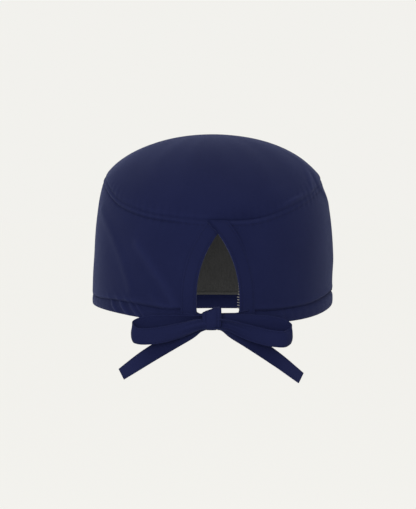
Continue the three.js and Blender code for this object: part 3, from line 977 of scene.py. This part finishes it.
def make_facing(name, side, lap_lift, material):
    """A strip along one edge of the keyhole. Across it runs a section with a rounded nose
    that hooks over the cut edge of the band, two stitched grooves and a folded outer edge.
    Past the point of the keyhole the hook ends and the strips cross. It comes with the runs
    of stitches along its two grooves."""
    edge = keyhole_edge()
    tangent = unit(np.gradient(edge, axis=0))
    inward = -tangent[:, 0]
    room = (FACING_HEAD_Z - edge[:, 1]) / np.maximum(inward, 0.02)
    reach = np.clip(np.where(inward > 0.02, room, FACING_WIDTH), 0.6, FACING_WIDTH)[:, None]
    up = edge[:, 1:]
    lift = lap_lift * smooth(KEYHOLE_SHOULDER_Z, LAP_LIFTED_Z, up)
    hook = HOOK_DEPTH * (1 - smooth(KEYHOLE_APEX_Z - 9, KEYHOLE_APEX_Z - 2, up))
    past = smooth(KEYHOLE_APEX_Z - 3, KEYHOLE_APEX_Z + 3, up)

    def strip_place(gap, out):
        return facing_out(side * (edge[:, :1] + tangent[:, 1:] * gap), up - tangent[:, :1] * gap, out)

    t = np.linspace(0, 1, FACING_PLACES)[None, :]
    gap = reach * t
    nose = 1 - bell(gap, 0.5) * (0.8 - 0.5 * past)
    fold = 1 - bell(reach - gap, 0.9) * 0.9 * (1 - lift / LAP_LIFT)
    grooves = 0.10 * bell(gap - NOSE_STITCH, 0.45) + 0.08 * bell(reach - gap - FOLD_STITCH, 0.45)
    pillow = 0.06 * np.sin(t * math.pi)
    top = FACING_REST + lift + FACING_THICK * nose * fold - grooves + pillow
    under = FACING_REST - 0.1 - hook * (1 - smooth(0.55, 0.8, gap))
    flat = uv_of(distances(edge)[:, None], gap)
    # Painted shade in the two stitched grooves, and a painted shadow along the strip's inner edge past
    # the keyhole's point, where the strips cross.
    wear_and_shading = -4.0 * grooves - 2.0 * past * bell(gap, 1.1)
    faces = [strip_place(gap, top), strip_place(gap, under)]
    piece = shell(name, *faces, flat, material, "navy_twill", wear_and_shading=wear_and_shading)
    runs = []
    wide = reach[:, 0] > NARROWEST_STITCHED
    level = FACING_REST + lift + FACING_THICK - 0.1
    for aside in (np.full_like(reach, NOSE_STITCH), reach - FOLD_STITCH):
        path = strip_place(aside, level)[wide, 0]
        runs.append(stitches_along(path, unit(strip_place(aside, level + 1)[wide, 0] - path)))
    return piece, runs


# ---- Lining ----

LINING_HALF_TURN = 62.0
LINING_REST = 1.7
LINING_CLOTH = 0.9
LINING_TOP = 0.94
LINING_EDGE_HEIGHT = 2.3
LINING_FOOT_GAP = 0.3
LINING_ROWS = 40
FOOT_COLUMNS = 500
FOOT_PLACES = 10
RIB_COLUMNS = 8
RIB_DEPTH = 0.14


def inside_band(turn, height, depth):
    """A point at a height above the hem and a depth inside the band."""
    rise = height / band_height(turn)
    return plain_band(turn, rise) - band_out(turn, rise) * np.asarray(depth)[..., None]


def make_lining(material):
    """Knit cloth inside the forehead, with upright ribs: its inner face waves in and out as a
    rounded sine of the distance along it."""
    arc = 2 * LINING_HALF_TURN * ARC_PER_DEGREE
    columns = int(arc / RIB_PITCH) * RIB_COLUMNS
    turn = np.linspace(180 - LINING_HALF_TURN, 180 + LINING_HALF_TURN, columns + 1)[:, None]
    share = np.linspace(0, 1, LINING_ROWS)[None, :]
    foot = stitch_height(turn) + LINING_EDGE_HEIGHT
    height = foot + share * (LINING_TOP * band_height(turn) - foot)
    turns = np.broadcast_to(turn, height.shape)
    along = turns * ARC_PER_DEGREE
    slack = 0.5 * np.sin(along / 11.0 + height / 37.0) + 0.3 * np.sin(along / 5.3 - height / 23.0)
    rib = np.abs(np.sin(along * math.pi / RIB_PITCH + 0.05 * np.sin(height / 4))) ** 0.7 * RIB_DEPTH
    sag = slack * smooth(0, 8, height - foot) * 0.6
    outer = inside_band(turns, height, LINING_REST)
    inner = inside_band(turns, height, LINING_REST + LINING_CLOTH + rib + sag)
    flat = uv_of(along, height)
    piece = shell("lining", outer, inner, flat, material, "knit_lining")
    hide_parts("front_lining")
    return piece


def make_lining_edge(material):
    """A rolled strip along the foot of the lining: an upright oval section."""
    turn = np.linspace(180 - LINING_HALF_TURN, 180 + LINING_HALF_TURN, FOOT_COLUMNS)
    phase = np.linspace(-math.pi / 2, math.pi / 2, FOOT_PLACES)
    turns, phases = np.meshgrid(turn, phase, indexing="ij")
    height = stitch_height(turns) + LINING_FOOT_GAP + LINING_EDGE_HEIGHT / 2 * (1 + np.sin(phases))
    bulge = 0.85 * np.cos(phases) ** 0.6
    wrinkle = 0.12 * np.sin(turns * ARC_PER_DEGREE * FULL_TURN / 3.1)
    middle = LINING_REST + 0.75
    outer = inside_band(turns, height, middle - 0.7 * bulge)
    inner = inside_band(turns, height, middle + bulge * (1 + wrinkle))
    flat = uv_of(turns * ARC_PER_DEGREE, height)
    piece = shell("lining_foot", outer, inner, flat, material, "lining_edge")
    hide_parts("lining_edge")
    return piece


# ---- Threads ----

STITCH = 2.9
STITCH_GAP = 0.75
STITCH_SUNK = 0.16
THREAD_RADIUS = 0.2
OVERLOCK_RADIUS = 0.30
THREAD_SIDES = 6
RING_STEPS = 1500
OVERLOCK_PITCH = 1.9
OVERLOCK_FOOT_Z = -121.6
OVERLOCK_HEAD_Z = -104.0


def threads(name, starts, middles, ends, lift, radius, material, slot):
    """Many short threads in one mesh. Each is a tube round a quadratic curve from its start
    through its middle to its end, five rings long with a small ring and a point at each end.
    lift is the outward direction at each."""
    t = np.array([0.0, 0.0, 0.12, 0.5, 0.88, 1.0, 1.0])[None, :, None]
    size = np.array([0.0, 0.6, 0.95, 1.0, 0.95, 0.6, 0.0]) * radius
    a, m, b = (p[:, None, :] for p in (starts, middles, ends))
    control = 2 * m - (a + b) / 2
    line = (1 - t) ** 2 * a + 2 * t * (1 - t) * control + t * t * b
    tangent = unit(b - a)
    up = unit(lift[:, None, :] - (lift[:, None, :] * tangent).sum(-1, keepdims=True) * tangent)
    side = np.cross(tangent, up)
    angle = np.linspace(0, FULL_TURN, THREAD_SIDES + 1)
    ring = np.cos(angle)[:, None, None, None] * side + np.sin(angle)[:, None, None, None] * up
    points = (line[None] + ring * size[None, None, :, None]).transpose(1, 2, 0, 3)
    count, rings, sides = points.shape[:3]
    firsts = (np.arange(count) * rings * sides)[:, None, None]
    quads = (grid_quads(rings, sides)[None] + firsts).reshape(-1, 4)
    long = np.linalg.norm(ends - starts, axis=1)[:, None, None]
    flat = uv_of(t * long, angle / FULL_TURN).reshape(-1, 2)
    return build(name, points.reshape(-1, 3), quads, flat[quads], material)


def stitches_along(path, lift, pitch=STITCH, gap=STITCH_GAP, proud=0.06):
    """Starts, middles, ends and outward directions of the stitches along a line. Their middles
    stand proud of the cloth, and their ends are sunk into it."""
    gone = distances(path)
    count = int(gone[-1] / pitch)
    at = (np.arange(count) + 0.5) * gone[-1] / count
    half = (pitch - gap) / 2
    outs = unit(picked(at, gone, lift))
    starts = picked(at - half, gone, path) - outs * STITCH_SUNK
    middles = picked(at, gone, path) + outs * proud
    ends = picked(at + half, gone, path) - outs * STITCH_SUNK
    return starts, middles, ends, outs


def joined(*runs):
    """Several runs of stitches as one."""
    return [np.concatenate(parts) for parts in zip(*runs)]


def seam_stitches(material):
    """Topstitching on the band, a presser foot's width below the crown seam."""
    turn = np.linspace(0.5, 359.5, RING_STEPS)
    rise = 1 - SEAM_STITCH_DROP / band_height(turn)
    run = stitches_along(band_face(turn, rise), band_out(turn, rise))
    return threads("seam_stitches", *run, THREAD_RADIUS, material, "navy_twill")


def casing_stitches(material):
    """The line that closes the casing, from one facing round to the other."""
    first = math.degrees(math.asin((KEYHOLE_HALF_WIDTH + FACING_WIDTH + 0.5) / HALF_WIDTH))
    turn = np.linspace(first, 360 - first, RING_STEPS)
    rise = (stitch_height(turn) + 0.1) / band_height(turn)
    lift = band_out(turn, rise)
    run = stitches_along(plain_band(turn, rise) - lift * 0.35, lift)
    return threads("casing_stitches", *run, THREAD_RADIUS, material, "navy_twill")


def overlock_stitches(material):
    """Short slanting loops of pale thread that show past the right facing's inner edge, longer
    where the cloth's cut edge hangs free below the lining."""
    z = np.arange(OVERLOCK_FOOT_Z, OVERLOCK_HEAD_Z, OVERLOCK_PITCH)
    x = keyhole_half_width(z)
    reach = 0.20 + 1.15 * smooth(-109.0, -114.0, z) + rng.uniform(-0.2, 0.2, len(z))
    starts = facing_out(x + 0.8, z - 0.25, np.full(len(z), -0.7))
    ends = facing_out(x - reach, z + 0.15, np.full(len(z), -0.95))
    middles = facing_out(x - reach / 2 + 0.2, z - 0.05, np.full(len(z), -0.6))
    run = (starts, middles, ends, band_out(*back_place(x, z)))
    return threads("overlock_loops", *run, OVERLOCK_RADIUS, material, "overlock_thread")


# ---- Tie ----

TAPE_THICK = 1.2
TAPE_WIDTH = 11.4

# The tie's centre line (x, y, z), the width that it shows, and its roll about that line in
# degrees. Each side starts inside the casing and passes through the knot twice.
TIE_LEFT = [
    (-22.0, -99.9, -126.5, 7.0, 0),
    (-18.0, -100.8, -127.3, 7.0, 0),
    (-13.8, -101.8, -129.0, 6.6, 0),
    (-11.7, -102.5, -129.4, 7.4, 0),
    (-8.0, -102.9, -129.7, 8.2, 0),
    (-5.9, -103.5, -129.8, 8.8, 0),
    (-5.9, -104.9, -130.3, 9.0, 0),
    (-8.0, -105.4, -130.7, 9.2, 0),
    (-11.7, -105.4, -131.0, 9.5, 0),
    (-20.0, -105.8, -131.5, 10.4, 0),
    (-32.0, -105.2, -131.6, 11.0, 0),
    (-44.0, -104.0, -131.9, 11.4, 0),
    (-53.0, -103.3, -133.4, 11.4, 0),
    (-57.6, -104.2, -135.6, 11.1, -4),
    (-59.0, -107.5, -137.9, 10.6, -5),
    (-57.7, -111.2, -139.6, 10.8, -5),
    (-53.0, -113.6, -140.3, 11.4, 0),
    (-42.0, -114.4, -139.6, 11.4, 0),
    (-27.0, -114.0, -136.4, 10.2, 0),
    (-17.0, -112.8, -133.4, 8.0, 0),
    (-11.7, -111.8, -132.3, 6.6, 0),
    (-8.0, -111.2, -132.0, 6.2, 0),
    (-5.8, -110.5, -131.9, 6.2, 0),
    (-5.8, -109.2, -132.0, 6.4, 0),
    (-8.5, -108.6, -132.3, 6.8, 0),
    (-13.8, -108.6, -133.9, 7.6, 0),
    (-19.2, -108.6, -137.3, 9.8, 4),
    (-31.0, -107.8, -144.0, 11.0, 12),
    (-48.7, -106.0, -154.6, 11.4, 22),
    (-66.9, -104.3, -167.2, 11.4, 46),
]
TIE_RIGHT = [
    (22.0, -99.9, -126.5, 7.0, 0),
    (18.0, -100.8, -127.3, 7.0, 0),
    (13.8, -101.6, -128.6, 7.2, 0),
    (8.8, -102.4, -129.3, 8.6, 0),
    (2.6, -103.3, -129.8, 9.6, 0),
    (-0.8, -103.4, -130.0, 9.4, 0),
    (-3.2, -103.8, -130.1, 9.0, 0),
    (-3.2, -105.0, -130.2, 9.2, 0),
    (-0.8, -105.4, -130.2, 9.4, 0),
    (2.6, -105.4, -130.2, 9.5, 0),
    (12.0, -105.9, -130.5, 10.4, 0),
    (24.0, -105.4, -131.5, 11.0, 0),
    (36.0, -104.4, -132.5, 11.4, 0),
    (45.0, -103.6, -135.0, 11.4, 0),
    (49.0, -104.6, -137.7, 11.0, 0),
    (50.4, -108.0, -140.2, 10.7, 1),
    (48.2, -111.6, -141.7, 10.9, 3),
    (45.0, -114.0, -142.5, 11.4, 0),
    (34.0, -114.6, -141.3, 11.4, 0),
    (19.0, -114.2, -137.0, 10.2, 0),
    (8.5, -113.0, -133.2, 7.4, 0),
    (2.6, -112.0, -132.2, 6.6, 0),
    (-0.8, -111.4, -131.9, 6.2, 0),
    (-3.3, -110.6, -131.8, 6.2, 0),
    (-3.3, -109.2, -131.8, 6.4, 0),
    (-0.4, -108.6, -132.1, 6.8, 0),
    (4.6, -108.6, -133.7, 7.6, 0),
    (10.0, -108.6, -136.9, 9.8, -4),
    (20.9, -107.8, -143.3, 11.0, -14),
    (39.0, -106.0, -155.8, 11.4, -28),
    (57.6, -104.3, -170.3, 11.4, -46),
]


def smooth_route(rows, steps):
    """A Catmull-Rom curve through the rows, by the square root of the distance between them,
    with points the same distance apart."""
    rows = np.array(rows, float)
    gaps = np.sqrt(np.linalg.norm(np.diff(rows[:, :3], axis=0), axis=1))
    at = np.concatenate([[0], np.cumsum(gaps)])
    slopes = np.gradient(rows, at, axis=0)
    where = np.linspace(0, at[-1], 4000)
    k = np.clip(np.searchsorted(at, where, side="right") - 1, 0, len(at) - 2)
    h = (at[k + 1] - at[k])[:, None]
    t = ((where - at[k])[:, None]) / h
    curve = ((1 + 2 * t) * (1 - t) ** 2 * rows[k] + t * (1 - t) ** 2 * h * slopes[k]
             + t * t * (3 - 2 * t) * rows[k + 1] + t * t * (t - 1) * h * slopes[k + 1])
    return even(curve, steps), distances(curve)[-1]


def cup_angle(shown):
    """Half the angle of the arc that a tape is bent to, so that it shows a width less than its
    own: sin(a) / a is the share shown, solved by Newton's method."""
    share = np.clip(shown / TAPE_WIDTH, 0.3, 0.999)
    a = np.sqrt(6 * (1 - share))
    for _ in range(12):
        a = a - (np.sin(a) - share * a) / (np.cos(a) - share)
        a = np.clip(a, 0.02, 3.0)
    return a


def tape_frame(route):
    """At each point of a route: the direction up across the tape, turned by the roll, and the
    one out through it."""
    along = unit(np.gradient(route[:, :3], axis=0))
    up = unit(np.array([0.0, 0.0, 1.0]) - along * along[:, 2:])
    out = np.cross(along, up)
    roll = np.radians(route[:, 4])[:, None]
    return up * np.cos(roll) + out * np.sin(roll), out * np.cos(roll) - up * np.sin(roll)


def tape_place(route, across, out):
    """Points of a tape at a share across it from -1 to 1 and a distance out from its middle.
    The tape is bent across into an arc that shows the route's width. At the outer end of the
    right loop the arc is turned over, so that the tape bulges outwards there too."""
    up, through = tape_frame(route)
    bend = cup_angle(route[:, 3])[:, None]
    radius = TAPE_WIDTH / 2 / bend
    angle = across * bend
    hollow = 1 - 2 * smooth(38, 45, route[:, :1])
    side = (radius + hollow * out) * np.sin(angle)
    sag = out * np.cos(angle) + hollow * radius * (np.cos(angle) - np.sin(bend) / bend)
    return route[:, None, :3] + up[:, None, :] * side[..., None] + through[:, None, :] * sag[..., None]


TIE_STEPS = 360
TIE_EXIT_STEP = 18
TAPE_PLACES = 30
TAPE_STITCH_AT = 0.80
TAPE_STITCH = 2.6
TAPE_STITCH_GAP = 0.7
TAPE_THREAD_RADIUS = 0.14
TAPE_END_MARGIN = 2.0

# The pleats where the tape is bunched towards the knot, by their shares across it.
TAPE_PLEATS = table(
    "at rise half_width",
    (-0.5, 0.22, 0.09),
    (-0.28, -0.22, 0.08),
    (0.1, 0.24, 0.12),
    (0.42, -0.24, 0.08),
    (0.6, 0.2, 0.08),
)


def pleat_relief(across, pleats):
    """Each pleat's rise times a bell curve of the distance from it, added up."""
    return sum(row["rise"] * bell(across - row["at"], row["half_width"]) for row in pleats)


def tape_section(places):
    """Shares across a tape from -1 to 1, closer together near its edges, and its half
    thickness at each, which falls off as a superellipse."""
    across = np.sin(np.linspace(-math.pi / 2, math.pi / 2, places))[None, :]
    return across, TAPE_THICK / 2 * (1 - np.abs(across) ** 9) ** 0.5


def tape_stitches(name, surface, edges, faces, inside, material):
    """The lines of stitches along a tape: at a share across it for each of its edges, and on
    each face, 1 outside and -1 inside. surface gives its points at a share and a distance out."""
    runs = []
    for edge in edges:
        for face in faces:
            level = face * (TAPE_THICK / 2 - 0.1)
            path = surface(edge, level)[inside, 0]
            lift = unit(surface(edge, level + face)[inside, 0] - path)
            runs.append(stitches_along(path, lift, TAPE_STITCH, TAPE_STITCH_GAP, 0.0))
    return threads(name, *joined(*runs), TAPE_THREAD_RADIUS, material, "tie_tape")


def make_tie(name, rows, material, thread_material, *nodes):
    """A flat folded tape, its long edges rounded as a superellipse and pressed in along its
    two lines of stitches, carried along the route."""
    route, length = smooth_route(rows, TIE_STEPS)
    across, body = tape_section(TAPE_PLACES)
    groove = 0.12 * bell(np.abs(across) - TAPE_STITCH_AT, 0.06)
    pad = 0.06 * (1 - across**2)
    half = body + (pad - groove) * (body > 0.2)
    gone = np.linspace(0, length, len(route))[:, None]
    ripples = 0.10 * np.sin(gone / 3.1 + 1.1 * np.sin(gone / 7.3)) * (1 - across**2)
    pleats = pleat_relief(across, TAPE_PLEATS)
    shown = route[:, 3:4]
    bunched = smooth(11.3, 8.0, shown)
    crease = ripples * smooth(10.2, 7.5, shown) + pleats * bunched
    outer = tape_place(route, across, half + crease)
    inner = tape_place(route, across, crease - half)
    flat = uv_of(gone, across * TAPE_WIDTH / 2)
    left_to_go = length - gone
    # Colour: a painted highlight on the pleats' ridges, painted shade between them and in the stitch
    # grooves, and a painted shadow of the loops on each tail just below the knot.
    shaded = smooth(-108.8, -107.4, route[:, 1:2]) * smooth(-132.5, -137, route[:, 2:3])
    painted_loop_shadow = shaded * smooth(62, 50, left_to_go) * smooth(14, 34, left_to_go)
    rubbed = 0.4 * smooth(26, 8, left_to_go)
    wear_and_shading = 1.6 * pleats * bunched - 2.2 * groove - 0.5 * painted_loop_shadow + rubbed
    piece = shell(name, outer, inner, flat, material, "tie_tape", wear_and_shading=wear_and_shading)
    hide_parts(*nodes)

    def surface(edge, level):
        return tape_place(route, np.full_like(gone, edge), level)

    inside = (np.minimum(gone, left_to_go) > TAPE_END_MARGIN)[:, 0]
    edges = (-TAPE_STITCH_AT, TAPE_STITCH_AT)
    lines = tape_stitches(name + "_stitches", surface, edges, (1, -1), inside, thread_material)
    return piece, lines, route, length


# ---- Knot ----

knot_low, knot_high = (np.array(corner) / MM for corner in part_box("tie_knot"))
WRAP_HALF_WIDTH = (knot_high[0] - knot_low[0]) / 2
WRAP_STEPS = 120
WRAP_PLACES = 44
WRAP_SLOPE_RUN = 7.4
WRAP_SLOPE_DROP = 4.6
WRAP_LENGTH = 42.0
WRAP_STITCH_AT = 0.92

# The wrap's pleats, in millimetres from its middle.
WRAP_PLEATS = table(
    "at rise half_width",
    (-5.2, 0.15, 0.6),
    (-4.2, -0.36, 0.5),
    (0.0, 0.15, 3.2),
    (3.6, -0.36, 0.5),
    (4.6, 0.20, 0.5),
    (5.6, -0.22, 0.4),
)


def wrap_line():
    """The wrap's middle line: a superellipse in the upright plane along the cap, a little
    squarer at its foot."""
    centre = (knot_low + knot_high) / 2
    half = (knot_high - knot_low) / 2 - TAPE_THICK / 2
    angle = np.linspace(0, FULL_TURN, WRAP_STEPS + 1)
    squareness = 0.62 + 0.08 * np.sin(angle)
    y, z = (np.sign(swing) * np.abs(swing) ** squareness for swing in (np.cos(angle), np.sin(angle)))
    return np.stack([0 * y, y * half[1], z * half[2]], 1) + centre, centre


def wrap_face(across, out):
    """The wrap's face: upright pleats, an edge that turns in, and a left side that is drawn in
    towards the middle near its top."""
    line, centre = wrap_line()
    spoke = unit((line - centre) * np.array([0, 1, 1]))
    x = across * WRAP_HALF_WIDTH
    drawn = smooth(knot_high[2] - WRAP_SLOPE_DROP, knot_high[2] - 1.2, line[:, 2])[:, None]
    slope = drawn * WRAP_SLOPE_RUN * np.clip(-across + 0.35, 0, None) / 1.35
    away = out + pleat_relief(x, WRAP_PLEATS) * (1 - 0.6 * drawn) - 0.30 * np.abs(across) ** 6
    x = x + slope
    return line[:, None, :] + spoke[:, None, :] * away[..., None] + np.stack([x, 0 * x, 0 * x], -1)


def make_knot(material, thread_material):
    """The tape's wrap round the middle of the bow, with its two stitched edges."""
    across, half = tape_section(WRAP_PLACES)
    outer = wrap_face(across, half)
    inner = wrap_face(across, -half)
    around = np.linspace(0, WRAP_LENGTH, WRAP_STEPS + 1)[:, None]
    flat = uv_of(around, across * WRAP_HALF_WIDTH)
    # The pleats again as colour: a painted highlight on their ridges and painted shade between them.
    wear_and_shading = pleat_relief(across * WRAP_HALF_WIDTH, WRAP_PLEATS)
    piece = shell("bow_knot", outer, inner, flat, material, "tie_tape", closed=True, wear_and_shading=wear_and_shading)
    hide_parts("tie_knot")

    def surface(edge, level):
        return wrap_face(np.full_like(around, edge), level)

    whole = slice(None)
    edges = (-WRAP_STITCH_AT, WRAP_STITCH_AT)
    return piece, tape_stitches("knot_stitches", surface, edges, (1,), whole, thread_material)


# ---- The cap put together ----

make_camera()
make_lights()

navy = twill("navy_twill", NAVY_DEEP, NAVY_PALE, CAP_SHEEN)
tape = twill("tie_tape", NAVY_DEEP, NAVY_PALE, TAPE_SHEEN)
navy_thread = thread("navy_thread", THREAD_NAVY, THREAD_NAVY_PALE)
grey_knit = knit("grey_knit", KNIT_DARK, KNIT_PALE, KNIT_BUMP)
grey_edge = knit("grey_edge", EDGE_DARK, EDGE_PALE, EDGE_BUMP)
beige_thread = thread("beige_thread", BEIGE_DARK, BEIGE_PALE)

ties = []
for name, rows in (("left", TIE_LEFT), ("right", TIE_RIGHT)):
    nodes = ["tie_" + part + "_" + name for part in ("strand", "loop", "tail")]
    ties.append(make_tie("tie_" + name, rows, tape, navy_thread, *nodes))
knot, knot_lines = make_knot(tape, navy_thread)
for (tie, lines, route, length), extra in zip(ties, ([knot, knot_lines], [])):
    tuple(route[TIE_EXIT_STEP, :3] * MM)
    round(length * MM, 3)
    (route[:, :3] * MM).tolist()


crown = make_crown(navy)
band = make_band(navy)
casing = make_casing(navy)
runs = []
for name, side, lap in (("left", -1, 0.0), ("right", 1, LAP_LIFT)):
    facing, facing_runs = make_facing("facing_" + name, side, lap, navy)
    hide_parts("keyhole_facing_" + name)
    runs += facing_runs
facing_lines = threads("facing_stitches", *joined(*runs), THREAD_RADIUS, navy_thread, "navy_twill")
seam_lines = seam_stitches(navy_thread)
casing_lines = casing_stitches(navy_thread)
lining = make_lining(grey_knit)
lining_foot = make_lining_edge(grey_edge)
loops = overlock_stitches(beige_thread)

floor_mesh = bpy.data.meshes.new("floor")
corners = [(x * FLOOR_HALF, y * FLOOR_HALF, FLOOR_Z) for x, y in ((-1, -1), (1, -1), (1, 1), (-1, 1))]
floor_mesh.from_pydata(corners, [], [(0, 1, 2, 3)])
floor_mesh.materials.append(paper_floor())
floor = stand("floor", floor_mesh)
